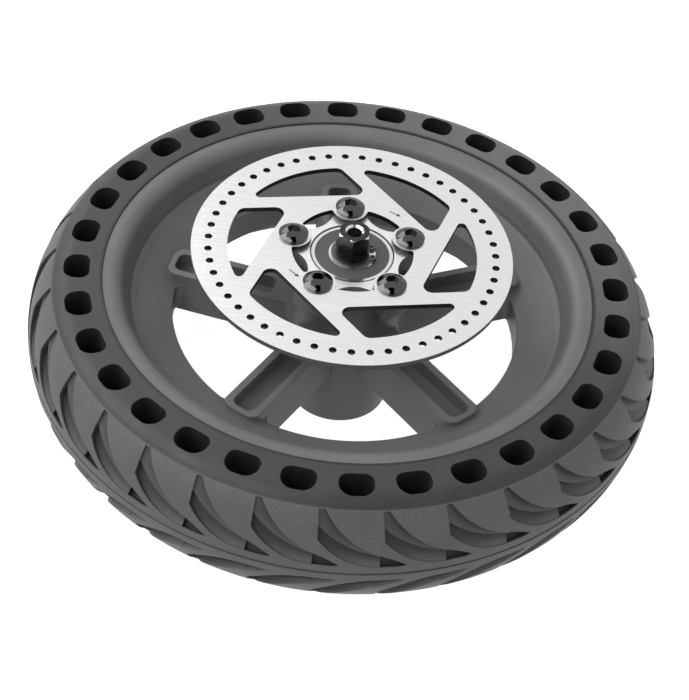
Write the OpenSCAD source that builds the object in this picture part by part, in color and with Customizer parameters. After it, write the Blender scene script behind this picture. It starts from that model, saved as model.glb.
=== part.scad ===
// Rear wheel of an electric kick scooter: airless tyre with through holes, five-spoke cast
// wheel, slotted brake disc, two sealed ball bearings and a hollow-ended axle.
// The axle lies along Z with the disc side up, and the origin is the middle of the wheel.

/* [Tyre] */
// Outer radius of the tread at its crown
tyre_r = 110.4; // [107:0.1:116]
// Width over the two side walls
tyre_w = 47.2; // [44:0.1:52]
// Depth of the tyre from its crown down to the rim edge
tyre_depth = 25.6; // [24:0.1:30]
// Radius of the crown curve across the tread
crown_r = 30.2; // [28:0.1:40]
// Radius of the curve from the tread into a side wall
shoulder_r = 7.3; // [4:0.1:9]
// Depth that the base of the tyre reaches between the rim walls
base_depth = 6.6; // [4:0.1:9]

/* [Cushion holes] */
// Cushion holes that run from side to side
cushion_count = 32; // [24:1:34]
// Distance from the rim edge out to the hole centres
cushion_out = 8.7; // [7.6:0.1:9.5]
// Width of a cushion hole round the tyre
cushion_w = 11.5; // [9:0.1:12.5]
// Height of a cushion hole, from rim towards tread
cushion_h = 8.9; // [8:0.1:10]
// Corner radius of a cushion hole on its rim side
cushion_corner = 3.2; // [2:0.1:4]
// Corner radius of a cushion hole on its tread side
cushion_bow = 4.4; // [3.5:0.1:4.5]
// Turn of the first cushion hole
cushion_turn = 6.3; // [0:0.01:11.25]

/* [Tread] */
// Distance from a side wall in to the edge of the tread
tread_in = 2.9; // [1.5:0.1:4]
// Height of the tread edges over the shoulders
tread_step = 0.4; // [0.2:0.1:0.8]
// Width of the fine line round the middle of the tread
line_w = 0.9; // [0.5:0.1:1.5]
// Depth of the fine line
line_depth = 0.4; // [0.2:0.1:0.8]
// Angle from the tip of a groove on to the middle of a cushion hole
tip_lag = 2.3; // [0:0.1:11]
// Distance of a groove's tip from the middle of the tread
groove_mid = 3.8; // [3:0.1:6]
// Tilt of a groove's floor across the tread
groove_tilt = 38; // [30:1:42]
// Tilt of a groove's floor along the groove
groove_lean = 2.4; // [0:0.1:4]
// Turn of a groove on its floor, about its tip
groove_turn = 4.6; // [0:0.1:8]
// Depth of a groove's floor at its tip
groove_depth = 0.5; // [0.2:0.1:1.2]
// Length of a groove
groove_len = 29; // [20:0.1:32]
// Rise of a groove from its tip to the start of its inner edge
groove_rise = 11.3; // [8:0.1:12]
// Drop of the outer edge of a groove below its tip
groove_drop = 0.9; // [0.2:0.1:1.5]
// Radius of the outer edge of a groove
bend_r = 24.6; // [18:0.1:32]
// Distance from the lowest point of the outer edge to the tip
bend_at = 9.7; // [6:0.1:14]
// Radius of the inner edge of a groove
sweep_r = 34; // [25:1:80]
// Width of a groove where its nose starts
nose_w = 4; // [3:0.1:5]
// Length of the pit in the nose of a groove
pit_len = 8.6; // [5:0.1:9]
// Depth of the pit below the floor of the groove
pit_depth = 2; // [1:0.1:3]
// Distance that the shallow step starts before its groove
step_lead = 1.6; // [0:0.1:2.5]
// Width of the step at the edge of the tread
step_w = 5.9; // [4:0.1:9]
// Height of the floor of the step over the floor of the groove
step_over = 1.8; // [1.5:0.1:2.4]
// Radius of the inner edge of the step
step_r = 30; // [20:1:40]

/* [Rim] */
// Height of a side wall of the tyre over the rim edge
wall_over = 0.4; // [0.1:0.1:1]
// Radial width of the flat lip that faces sideways
lip_w = 6.1; // [5:0.1:7]
// Radius of the soft inner edge of the lip
lip_round = 5; // [2:0.1:6]
// Thickness of the flange behind the lip
flange_t = 3.2; // [2.5:0.1:4]
// Height of the rim edge over the tyre seat
flange_h = 4.2; // [3:0.1:6]
// Width of the tyre seat
seat_w = 4.6; // [3:0.1:6]
// Depth of the rim well below the tyre seat
well_depth = 14.6; // [12:0.1:17]
// Width of the floor of the rim well
well_w = 8; // [6:0.1:10]
// Thickness of the metal under the floor of the well
floor_t = 5.4; // [4:0.1:8]
// Distance from the tyre seat in to the knee where the wall turns into the slope
knee_in = 5.6; // [4:0.1:7]
// Radius of the soft hollow at the knee
knee_round = 8; // [3:0.1:9]
// Thickness of the rim wall at the knee, measured along the axle
rim_wall = 3; // [2:0.1:4]
// Height of the inner edge on the disc side over the middle of the wheel
land_top = 7; // [5:0.1:8.5]
// Depth of the inner edge on the far side below the middle of the wheel
land_bottom = 3; // [2:0.1:5]

/* [Spokes] */
// Number of spokes, which is also the number of disc screws
spoke_count = 5; // [5:1:5]
// Angle of the first spoke
spoke_turn = 25.1; // [0:0.1:72]
// Width of a spoke at its top, on the disc side
spoke_w = 13.4; // [12:0.1:15]
// Widening of each side of a spoke from its top to its back
spoke_flare = 1.2; // [0.4:0.1:2]
// Height of the spoke top over the middle of the wheel
spoke_top = 11; // [9:0.1:13]
// Depth of the spoke back below the middle of the wheel
spoke_back = 4.2; // [3:0.1:6]
// Corner radius of the windows at the rim
window_fillet = 3.5; // [2:0.1:5]
// Corner radius of the windows at the hub
root_fillet = 4; // [2:0.1:5]
// Width of the ridge on each side of a spoke pocket
ridge_w = 2.5; // [1.6:0.1:3]
// Depth of a spoke pocket
pocket_depth = 5.5; // [3:0.1:7]
// Distance from the hub body out to the start of a spoke pocket
pocket_start = 6.4; // [3:0.1:10]
// Distance that a spoke pocket runs on past the inner edge of the rim
pocket_over = 1.9; // [0:0.1:4]
// Corner radius of a spoke pocket
pocket_corner = 2.6; // [1:0.1:3]

/* [Hub] */
// Wall of the hub barrel round the far bearing
barrel_wall = 3.9; // [2.5:0.1:5]
// Length of the barrel from the middle of the wheel to its far end
barrel_back = 29.7; // [26:0.1:34]
// Wall of the hub body between the spokes and the flange
hub_wall = 5.6; // [4:0.1:7]
// Height of the disc seat over the middle of the wheel
disc_seat_z = 35.3; // [34:0.1:38]
// Thickness of the star flange under the disc
star_t = 8; // [6:0.1:10]
// Distance from a screw's centre out to the point of the star
star_edge = 5.3; // [4:0.1:7]
// Radius of the hollow between two points of the star
star_hollow_r = 10; // [9:0.1:10.5]
// Wall of the plain boss round the bearing at the level of the star
boss_wall = 2.5; // [1.8:0.1:3]
// Height of the shoulder that each bearing rests on
bearing_shoulder = 1.6; // [1.2:0.1:3]
// Distance from each hub face in to its bearing
bearing_inset = 0.2; // [0.1:0.1:0.6]

/* [Brake disc] */
// Radius of the disc
disc_r = 55; // [54:0.1:60]
// Thickness of the disc
disc_t = 1.8; // [1.6:0.1:2.4]
// Number of vent holes
vent_count = 51; // [40:1:54]
// Distance from the disc's edge in to the centres of the vent holes
vent_in = 5.8; // [4.5:0.1:8]
// Radius of a vent hole
vent_r = 1.3; // [1:0.05:1.5]
// Turn of the first vent hole
vent_turn = 6; // [0:0.01:7]
// Width of the band that the pads rub on
track_w = 12.3; // [11:0.1:14]
// Number of slanted arms, which is also the number of windows
arm_count = 6; // [6:1:6]
// Narrowest metal between the disc opening and a window
eye_wall = 1.7; // [1.2:0.1:3]
// Width of a slanted arm
arm_w = 5.3; // [4.5:0.1:6]
// Turn of the first arm's normal
arm_turn = 42.6; // [0:0.1:60]
// Corner radius of a window at its tip
tip_fillet = 1.6; // [1:0.1:2]
// Corner radius of a window where an arm meets the outer band
band_fillet = 3; // [2:0.1:4]
// Corner radius of a window at its inner corner
inner_fillet = 3; // [2:0.1:3.5]
// How far the edge of the disc opening lies inside the screw circle
eye_in = 0.2; // [0:0.1:1]
// Corner radius of the disc opening where it meets an ear
eye_fillet = 0.8; // [0.3:0.1:1.2]
// Metal of an ear round its screw hole
ear_wall = 3.45; // [2.8:0.05:3.65]

/* [Disc screws] */
// Radius of the screw circle
screw_ring_r = 21.1; // [20.8:0.05:21.4]
// Radius of a screw thread
screw_r = 2.5; // [2:0.1:3]
// Radius of a screw head
head_r = 5.1; // [4.4:0.05:5.3]
// Height of a screw head
head_h = 2.8; // [2:0.1:3.2]
// Height of the straight rim of a screw head
head_rim_h = 0.8; // [0.4:0.1:1]
// Width across the flats of the screw socket
socket_af = 4; // [2.5:0.1:4.2]
// Depth of the screw socket
socket_depth = 1.7; // [1:0.1:2]
// Distance from a screw's tip to the back of the star flange
screw_short = 0.8; // [0.3:0.1:3]

/* [Bearings] */
// Bore radius of a bearing, which is also the radius of the axle
axle_r = 6; // [5.5:0.1:6.2]
// Outer radius of a bearing
bearing_r = 14; // [13.6:0.1:14.2]
// Width of a bearing
bearing_w = 8; // [7.6:0.1:9]
// Number of balls in a bearing
ball_count = 8; // [6:1:9]
// Thinnest wall of a bearing ring, behind the ball groove
race_wall = 1.62; // [1.5:0.01:2]
// Height of a race shoulder over the bottom of its groove
race_shoulder = 0.55; // [0.4:0.05:0.7]
// Room between the cage and each race shoulder
cage_side = 0.91; // [0.5:0.01:1.2]
// Edge of the cage beside a ball
cage_edge = 0.29; // [0.2:0.01:0.5]
// Room between the cage and each seal
cage_room = 0.3; // [0.2:0.1:0.6]
// Thickness of a bearing seal
seal_t = 0.7; // [0.5:0.05:0.8]
// Distance from a bearing face in to its seal
seal_inset = 0.25; // [0.1:0.05:0.4]
// Width of the rebate in an outer ring that holds a seal
seal_rebate = 0.9; // [0.6:0.1:1.1]

/* [Axle] */
// Length of the axle that stands out past the disc seat
disc_end_out = 10.2; // [9:0.1:14]
// Length of the axle that stands out past the far end of the barrel
far_end_out = 10.3; // [9:0.1:14]
// Length of the hexagon at each axle end
hex_len = 6.5; // [5:0.1:7]
// Depth of each flat of the hexagon below the round of the axle
flat_depth = 1; // [0.9:0.1:1.6]
// Turn of the hexagons
hex_turn = 30; // [0:1:59]
// Bevel at the end of each hexagon
hex_bevel = 0.6; // [0.3:0.1:0.9]
// Radius of the threaded hole in each axle end
axle_hole_r = 2.5; // [2:0.1:3]
// Depth of the threaded hole in each axle end
axle_hole_depth = 16; // [10:0.5:20]
// Radius of the countersink at the mouth of the threaded hole
mouth_r = 3.2; // [3.1:0.1:3.8]
// Thickness of a retaining ring
clip_t = 1; // [0.8:0.05:1.2]
// Radial depth of the groove that holds a retaining ring
clip_groove = 0.5; // [0.3:0.05:0.6]
// Radial width of a retaining ring over its groove
clip_w = 1.3; // [1.1:0.1:2.2]
// Angle left open between the ends of a retaining ring
clip_gap = 34; // [24:1:50]
// Radius of the lug at each end of a retaining ring
clip_lug_r = 1.25; // [1.1:0.05:1.5]
// Radius of the hole in a retaining ring lug
clip_hole_r = 0.55; // [0.4:0.05:0.6]
// Turn of the opening of the retaining rings
clip_turn = 8; // [0:1:359]
// Wall of the spacer tube between the bearings
spacer_wall = 1.5; // [1:0.1:2]

/* [Fits] */
// Gap round a piece that is pressed or screwed into its seat
seat_gap = 0.02; // [0.01:0.01:0.05]
// Running gap inside a bearing
run_gap = 0.08; // [0.05:0.01:0.1]
// Gap between the tyre and the rim
tyre_gap = 0.05; // [0.02:0.01:0.2]
// Gap between the rubbing lip of a seal and the inner ring
lip_gap = 0.1; // [0.05:0.01:0.2]
// Gap round a screw in the disc
disc_hole_gap = 0.25; // [0.1:0.05:0.4]

/* [Hidden] */

$fn = 96;
eps = 0.01;
blend = 0.15;
spoke_step = 360 / spoke_count;
arm_step = 360 / arm_count;
rim_r = tyre_r - tyre_depth;
rim_w = tyre_w - 2 * wall_over;
seat_r = rim_r - flange_h;
seat_z = rim_w / 2 - flange_t;
seat_in = seat_z - seat_w;
well_r = seat_r - well_depth;
well_slope = (seat_in - well_w / 2) / well_depth;
knee_r = seat_r - knee_in;
knee_z = well_w / 2 + (knee_r - well_r) * well_slope + rim_wall;
land_r = well_r - floor_t;
tread_w = tyre_w - 2 * tread_in;
// radius of the crown at the tip of a groove and at the edge of the tread
tip_r = tyre_r - crown_r + sqrt(crown_r * crown_r - groove_mid * groove_mid);
edge_r = tyre_r - crown_r + sqrt(crown_r * crown_r - tread_w * tread_w / 4);
cushion_ring_r = rim_r + cushion_out;
cushion_step = 360 / cushion_count;
spoke_back_w = spoke_w + 2 * spoke_flare;
barrel_r = bearing_r + barrel_wall;
hub_body_r = bearing_r + hub_wall;
boss_r = bearing_r + boss_wall;
core_r = bearing_r - bearing_shoulder;
star_r = screw_ring_r + star_edge;
pocket_in_r = hub_body_r + pocket_start;
pocket_out_r = land_r + pocket_over;
vent_ring_r = disc_r - vent_in;
slot_out_r = disc_r - track_w;
eye_r = screw_ring_r - eye_in;
arm_offset = eye_r + eye_wall;
ear_r = screw_r + disc_hole_gap + ear_wall;
screw_len = disc_t + star_t - screw_short;
ball_ring_r = (axle_r + bearing_r) / 2;
// the balls fill the bearing across and along, whichever leaves less room
ball_r = min((bearing_r - axle_r) / 2 - race_wall,
    bearing_w / 2 - seal_inset - seal_t - cage_room - cage_edge - run_gap);
cage_len = bearing_w - 2 * (seal_inset + seal_t + cage_room);
cage_w = 2 * (ball_r + run_gap - race_shoulder - cage_side);
axle_disc_end = disc_seat_z + disc_end_out;
axle_far_end = barrel_back + far_end_out;
hex_af = 2 * (axle_r - flat_depth);
disc_bearing_z = disc_seat_z - bearing_inset - bearing_w / 2;
far_bearing_z = -barrel_back + bearing_inset + bearing_w / 2;
groove_r = ball_r + run_gap;
inner_land_r = ball_ring_r - groove_r + race_shoulder;
outer_land_r = ball_ring_r + groove_r - race_shoulder;
seal_seat_r = outer_land_r + seal_rebate;

function polar(r, a) = [r * cos(a), r * sin(a)];

// Cuts one sharp corner of a flat outline round: c is the fillet centre, and d1 and d2 are the
// directions from it to the two edges that the fillet touches.
module round_corner(c, d1, d2, r) {
    difference() {
        polygon([c, c + 4 * r * d1, c + 4 * r * (d1 + d2), c + 4 * r * d2]);
        translate(c) circle(r);
    }
}

// The centre of the circle of radius r that touches both edges of the corner p, inside it. The edges
// run in the directions d1 and d2.
function inside_corner(p, d1, d2, r) = p + r / sin(acos(d1 * d2) / 2) * (d1 + d2) / norm(d1 + d2);

// The point where a circle round c of radius r touches an edge that runs in the direction d, on the
// circle's right as one looks along d
function touch(c, d, r) = c + r * [d[1], -d[0]];

// The centre of the circle of radius r through p and q that lies on the left of the way from p to q
function arc_centre(p, q, r) =
    let (d = q - p) (p + q) / 2 + sqrt(r * r - d * d / 4) * [-d[1], d[0]] / norm(d);

// ---- tyre ----

// The section of the crown at a depth below the tread, cut off flat at each side
module crown_section(depth, width) {
    intersection() {
        translate([tyre_r - crown_r, 0]) circle(crown_r - depth);
        translate([rim_r + tyre_gap, -width / 2]) square([tyre_depth, width]);
    }
}

module tyre_profile() {
    half = tyre_w / 2;
    chan = seat_z - tyre_gap;
    // the base follows the slope of the rim well, one gap above it
    base_r = seat_r - base_depth;
    base_z = seat_in - base_depth * well_slope - tyre_gap;
    // centre of the shoulder curve, which touches the side wall and the crown
    turn_z = half - shoulder_r;
    turn_d = [sqrt(pow(crown_r - tread_step - shoulder_r, 2) - turn_z * turn_z), turn_z];
    difference() {
        union() {
            difference() {
                crown_section(tread_step, tyre_w);
                for (s = [-1, 1]) round_corner([tyre_r - crown_r + turn_d[0], s * turn_z],
                    [0, s], [turn_d[0], s * turn_d[1]] / norm(turn_d), shoulder_r);
            }
            crown_section(0, tread_w);
        }
        translate([tyre_r - line_depth, -line_w / 2]) square([line_depth + 1, line_w]);
    }
    polygon([[rim_r + 1, chan], [seat_r + tyre_gap, chan], [seat_r + tyre_gap, seat_in],
        [base_r, base_z], [base_r, -base_z], [seat_r + tyre_gap, -seat_in],
        [seat_r + tyre_gap, -chan], [rim_r + 1, -chan]]);
}

// The outlines of a groove are drawn on its floor: x runs along the groove and ends at its tip, and
// y runs from the tip towards the tread edge.
groove_start = [1.7 - groove_len, groove_rise];
nose_start = [-bend_at, nose_w - groove_drop];

module groove_outline() {
    difference() {
        intersection() {
            translate([-bend_at, bend_r - groove_drop]) circle(bend_r);
            translate([-groove_len, -groove_drop - 1]) square([groove_len - bend_at + 2, groove_rise + bend_r]);
        }
        translate(arc_centre(groove_start, nose_start, sweep_r)) circle(sweep_r);
    }
    nose_outline(bend_at);
}

// The nose runs straight to the tip, with a little belly on its upper side.
module nose_outline(len) {
    polygon([[-len, -groove_drop], [-2, -0.6 * groove_drop], [0, 0], [-bend_at / 2, nose_start[1] * 0.62],
        [-len, nose_start[1]]]);
}

// The step runs straight in from the tread edge, then bends along the inner edge of the groove.
module step_outline() {
    top = (tread_w / 2 - groove_mid) * cos(groove_tilt) + (tip_r - edge_r) * sin(groove_tilt);
    left = groove_start[0] - step_lead;
    corner = [left + step_w, groove_start[1] + 1];
    end = [nose_start[0] + 0.2, nose_start[1]];
    difference() {
        polygon([[left, top], [left + step_w, top], corner, end, nose_start - [0, 2],
            [left, groove_start[1] - 2]]);
        translate(arc_centre(corner, end, step_r)) circle(step_r);
    }
}

// Puts the outlines on the floor of each groove, on both sides of the middle, at a height over the
// floor, and cuts from there out through the tread.
module cut_tread(height) {
    for (i = [0 : cushion_count - 1], s = [0, 1]) mirror([0, 0, s])
        rotate([0, 0, cushion_turn - tip_lag + i * cushion_step]) translate([tip_r, 0, groove_mid])
            rotate([0, -groove_tilt, 0]) rotate([0, 0, -groove_lean]) rotate([90, 0, 90])
                translate([0, 0, height - groove_depth]) linear_extrude(6 - height)
                    rotate(-groove_turn) children();
}

// A cushion hole is flat with two corners towards the rim and half round towards the tread.
module cushion_outline() {
    a = cushion_w / 2;
    o = cushion_bow;
    high = cushion_h / 2;
    c = min(cushion_corner, cushion_h - o);
    for (s = [-1, 1]) {
        translate([s * (a - c), c - high]) circle(c);
        translate([s * (a - o), high - o]) circle(o);
    }
    polygon([[c - a, -high], [a - c, -high], [a, c - high], [a, high - o], [a - o, high],
        [o - a, high], [-a, high - o], [-a, c - high]]);
}

module tyre() {
    color("dimgray") difference() {
        rotate_extrude() tyre_profile();
        cut_tread(step_over) step_outline();
        cut_tread(0) groove_outline();
        cut_tread(-pit_depth) nose_outline(pit_len);
        for (i = [0 : cushion_count - 1])
            rotate([0, 0, cushion_turn + i * cushion_step - 90])
                translate([0, cushion_ring_r, -tyre_w / 2 - 1])
                    linear_extrude(tyre_w + 2) cushion_outline();
    }
}

// ---- cast wheel ----

module rim_profile() {
    half = rim_w / 2;
    lip_r = rim_r - lip_w;
    // per side: its sign, the directions from the knee to the lip and to the inner edge, the centre
    // of the soft hollow at the knee, and the centre of the soft edge of the lip
    sides = [for (side = [[1, land_top], [-1, -land_bottom]])
        let (s = side[0], knee = [knee_r, s * knee_z], lip = [lip_r, s * half],
            up = (lip - knee) / norm(lip - knee),
            down = ([land_r, side[1]] - knee) / norm([land_r, side[1]] - knee))
        [s, up, down, inside_corner(knee, up, down, knee_round),
            inside_corner(lip, [1, 0], -up, lip_round)]];
    top = sides[0];
    low = sides[1];
    difference() {
        polygon([[land_r, land_top], touch(top[3], -top[2], knee_round), top[3],
            touch(top[3], top[1], knee_round), [lip_r, half], [rim_r, half],
            [rim_r, seat_z], [seat_r, seat_z], [seat_r, seat_in], [well_r, well_w / 2],
            [well_r, -well_w / 2], [seat_r, -seat_in], [seat_r, -seat_z], [rim_r, -seat_z],
            [rim_r, -half], [lip_r, -half], touch(low[3], -low[1], knee_round), low[3],
            touch(low[3], low[2], knee_round), [land_r, -land_bottom]]);
        for (side = sides) {
            translate(side[3]) circle(knee_round);
            round_corner(side[4], [0, side[0]], side[0] * [-side[1][1], side[1][0]], lip_round);
        }
    }
}

// Fills the sharp corner between a spoke and the rim or the hub: c is the fillet centre, d1 points
// to the spoke and d2 to the rim or hub.
module corner_fill(c, d1, d2, r) {
    side = r + 1;
    difference() {
        polygon([c, c + side * d1, c + side * d1 + side * d2, c + side * d2]);
        translate(c) circle(r);
    }
}

// The spokes taper in width from their back to their top, and run on inside the rim and the hub.
module spoke_bars() {
    for (i = [0 : spoke_count - 1]) rotate([0, 0, spoke_turn + i * spoke_step])
        rotate([90, 0, 90]) linear_extrude(knee_r - 2)
            polygon([[-spoke_back_w / 2, -spoke_back], [spoke_back_w / 2, -spoke_back],
                [spoke_w / 2, spoke_top], [-spoke_w / 2, spoke_top]]);
}

// The rounded window corners. Each fillet circle reaches blend past the round wall that it meets,
// so the two surfaces cross and never just touch.
module window_corners() {
    rise = spoke_top + spoke_back;
    half_at_land = spoke_w / 2 + (spoke_back_w - spoke_w) / 2 * (spoke_top - land_top) / rise;
    rim_at = land_r - window_fillet + blend;
    hub_at = hub_body_r + root_fillet - blend;
    rim_a = asin((half_at_land + window_fillet) / rim_at);
    hub_a = asin((spoke_w / 2 + root_fillet) / hub_at);
    for (i = [0 : spoke_count - 1], s = [-1, 1]) rotate([0, 0, spoke_turn + i * spoke_step]) {
        translate([0, 0, -land_bottom]) linear_extrude(land_top + land_bottom)
            corner_fill(polar(rim_at, s * rim_a), polar(1, -s * 90), polar(1, s * rim_a), window_fillet);
        translate([0, 0, -spoke_back]) linear_extrude(rise)
            corner_fill(polar(hub_at, s * hub_a), polar(1, -s * 90), polar(1, s * hub_a + 180), root_fillet);
    }
}

module pocket_outline() {
    side = spoke_w / 2 - ridge_w;
    c = pocket_corner;
    for (x = [pocket_in_r + c, pocket_out_r - c], y = [c - side, side - c])
        translate([x, y]) circle(c);
    translate([pocket_in_r + c, -side]) square([pocket_out_r - pocket_in_r - 2 * c, 2 * side]);
    translate([pocket_in_r, c - side]) square([pocket_out_r - pocket_in_r, 2 * side - 2 * c]);
}

module star_outline() {
    difference() {
        circle(star_r);
        for (i = [0 : spoke_count - 1])
            rotate([0, 0, spoke_turn + (i + 0.5) * spoke_step])
                translate([boss_r + star_hollow_r + 0.1, 0]) circle(star_hollow_r);
    }
}

module hub_profile() {
    polygon([[core_r, -barrel_back], [barrel_r, -barrel_back], [hub_body_r, -spoke_back - 1],
        [hub_body_r, disc_seat_z - star_t + 1], [boss_r, disc_seat_z - star_t + 1],
        [boss_r, disc_seat_z], [core_r, disc_seat_z]]);
}

module wheel_casting() {
    color("gray") difference() {
        union() {
            rotate_extrude() rim_profile();
            spoke_bars();
            window_corners();
            rotate_extrude() hub_profile();
            translate([0, 0, disc_seat_z - star_t]) linear_extrude(star_t) star_outline();
        }
        // bore and the two bearing seats
        translate([0, 0, -spoke_back - 1]) cylinder(h = spoke_top + spoke_back + 2, r = core_r);
        translate([0, 0, disc_bearing_z - bearing_w / 2])
            cylinder(h = bearing_w + bearing_inset + 1, r = bearing_r + seat_gap);
        translate([0, 0, -barrel_back - 1])
            cylinder(h = bearing_w + bearing_inset + 1, r = bearing_r + seat_gap);
        for (i = [0 : spoke_count - 1]) rotate([0, 0, spoke_turn + i * spoke_step]) {
            translate([0, 0, spoke_top - pocket_depth])
                linear_extrude(pocket_depth + 1) pocket_outline();
            translate([screw_ring_r, 0, disc_seat_z - star_t - 1])
                cylinder(h = star_t + 2, r = screw_r + seat_gap);
        }
    }
}

// ---- brake disc ----

// One window between two slanted arms. The long edge is the far side of one arm, and the short
// edge is the near side of the next.
module slot_outline() {
    far = arm_offset + arm_w;
    n1 = polar(1, 0);
    n2 = polar(1, -arm_step);
    tip_a = acos((far + tip_fillet) / (slot_out_r - tip_fillet));
    band_a = -arm_step + acos((arm_offset - band_fillet) / (slot_out_r - band_fillet));
    // inner corner: its fillet centre is inner_fillet inside both edges
    u = far + inner_fillet;
    v = (arm_offset - inner_fillet - u * cos(arm_step)) / sin(arm_step);
    corner = [u, -v];
    cut = slot_out_r + 5;
    difference() {
        intersection() {
            circle(slot_out_r);
            translate([far, -cut]) square(2 * cut);
            rotate([0, 0, -arm_step]) translate([-2 * cut + arm_offset, -cut]) square(2 * cut);
        }
        round_corner(polar(slot_out_r - tip_fillet, tip_a), polar(1, 180), polar(1, tip_a), tip_fillet);
        round_corner(polar(slot_out_r - band_fillet, band_a), n2, polar(1, band_a), band_fillet);
        round_corner(corner, -n1, n2, inner_fillet);
    }
}

// The opening round the hub, with an ear of metal left round each screw
module eye_outline() {
    // the fillet circle touches the opening from inside and the ear from outside
    d = eye_r - eye_fillet;
    far = ear_r + eye_fillet;
    a = acos((d * d + screw_ring_r * screw_ring_r - far * far) / (2 * d * screw_ring_r));
    difference() {
        circle(eye_r);
        for (i = [0 : spoke_count - 1]) rotate([0, 0, spoke_turn + i * spoke_step]) {
            translate([screw_ring_r, 0]) circle(ear_r);
            for (s = [-1, 1]) round_corner(polar(d, s * a), polar(1, s * a),
                ([screw_ring_r, 0] - polar(d, s * a)) / far, eye_fillet);
        }
    }
}

module brake_disc() {
    color("silver") translate([0, 0, disc_seat_z]) linear_extrude(disc_t) difference() {
        circle(disc_r);
        eye_outline();
        for (i = [0 : spoke_count - 1])
            rotate([0, 0, spoke_turn + i * spoke_step])
                translate([screw_ring_r, 0]) circle(screw_r + disc_hole_gap);
        for (i = [0 : vent_count - 1])
            rotate([0, 0, vent_turn + i * 360 / vent_count]) translate([vent_ring_r, 0]) circle(vent_r);
        for (i = [0 : arm_count - 1]) rotate([0, 0, arm_turn + i * arm_step]) slot_outline();
    }
}

// ---- disc screws ----

module disc_screw(i) {
    seat = disc_seat_z + disc_t;
    dome = head_h - head_rim_h;
    ball = (head_r * head_r + dome * dome) / (2 * dome);
    color("dimgray") rotate([0, 0, spoke_turn + i * spoke_step])
        translate([screw_ring_r, 0, seat]) difference() {
            union() {
                intersection() {
                    translate([0, 0, head_h - ball]) sphere(ball);
                    cylinder(h = head_h + 1, r = head_r);
                }
                translate([0, 0, -screw_len]) cylinder(h = screw_len + head_rim_h / 2, r = screw_r);
            }
            translate([0, 0, head_h - socket_depth])
                cylinder(h = socket_depth + 1, r = socket_af / sqrt(3), $fn = 6);
        }
}

module disc_screw_1() { disc_screw(0); }
module disc_screw_2() { disc_screw(1); }
module disc_screw_3() { disc_screw(2); }
module disc_screw_4() { disc_screw(3); }
module disc_screw_5() { disc_screw(4); }

// ---- bearings: drawn round the origin and moved to their seats ----

module at_disc() { translate([0, 0, disc_bearing_z]) children(); }
module at_far() { translate([0, 0, far_bearing_z]) mirror([0, 0, 1]) children(); }

module ring(r_in, r_out, len) {
    difference() {
        cylinder(h = len, r = r_out, center = true);
        cylinder(h = len + 1, r = r_in, center = true);
    }
}

module race_groove() {
    rotate_extrude() translate([ball_ring_r, 0]) circle(groove_r);
}

module outer_ring() {
    color("lightsteelblue") difference() {
        ring(outer_land_r, bearing_r, bearing_w);
        race_groove();
        for (s = [-1, 1]) translate([0, 0, s * bearing_w / 2])
            cylinder(h = 2 * (seal_t + seal_inset + seat_gap), r = seal_seat_r, center = true);
    }
}

module inner_ring() {
    color("lightsteelblue") difference() {
        ring(axle_r + seat_gap, inner_land_r, bearing_w);
        race_groove();
    }
}

module balls() {
    color("white") for (i = [0 : ball_count - 1])
        rotate([0, 0, (i + 0.5) * 360 / ball_count]) translate([ball_ring_r, 0, 0]) sphere(ball_r);
}

module cage() {
    color("saddlebrown") difference() {
        ring(ball_ring_r - cage_w / 2, ball_ring_r + cage_w / 2, cage_len);
        for (i = [0 : ball_count - 1])
            rotate([0, 90, (i + 0.5) * 360 / ball_count])
                cylinder(h = ball_ring_r + cage_w, r = ball_r + run_gap);
    }
}

module seal(side) {
    color("black") translate([0, 0, side * (bearing_w / 2 - seal_inset - seal_t / 2)])
        ring(inner_land_r + lip_gap, seal_seat_r - seat_gap, seal_t);
}

module disc_side_outer_ring() { at_disc() outer_ring(); }
module disc_side_inner_ring() { at_disc() inner_ring(); }
module disc_side_balls() { at_disc() balls(); }
module disc_side_cage() { at_disc() cage(); }
module disc_side_outer_seal() { at_disc() seal(1); }
module disc_side_inner_seal() { at_disc() seal(-1); }
module far_side_outer_ring() { at_far() outer_ring(); }
module far_side_inner_ring() { at_far() inner_ring(); }
module far_side_balls() { at_far() balls(); }
module far_side_cage() { at_far() cage(); }
module far_side_outer_seal() { at_far() seal(1); }
module far_side_inner_seal() { at_far() seal(-1); }

// ---- axle ----

// The face of the retaining ring that leans on a bearing
disc_clip_z = disc_bearing_z + bearing_w / 2 + seat_gap;
far_clip_z = far_bearing_z - bearing_w / 2 - seat_gap - clip_t;

// One end of the axle, drawn from its face at z = 0 down to 1 mm inside the round bar.
module hex_end() {
    corner_r = hex_af / sqrt(3);
    intersection() {
        rotate([0, 0, hex_turn]) translate([0, 0, -hex_len - 1]) cylinder(h = hex_len + 1, r = corner_r, $fn = 6);
        // the bevel turns the corners of the hexagon round at its end
        translate([0, 0, -hex_len - 2])
            cylinder(h = hex_len + 2, r1 = corner_r - hex_bevel + hex_len + 2, r2 = corner_r - hex_bevel);
    }
}

module end_hole() {
    sink = mouth_r - axle_hole_r;
    translate([0, 0, -axle_hole_depth]) cylinder(h = axle_hole_depth + 1, r = axle_hole_r);
    translate([0, 0, -sink]) cylinder(h = sink + 1, r1 = axle_hole_r, r2 = mouth_r + 1);
}

module clip_seat(z) {
    translate([0, 0, z - seat_gap / 2]) difference() {
        cylinder(h = clip_t + seat_gap, r = axle_r + 1);
        translate([0, 0, -1]) cylinder(h = clip_t + 3, r = axle_r - clip_groove);
    }
}

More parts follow.
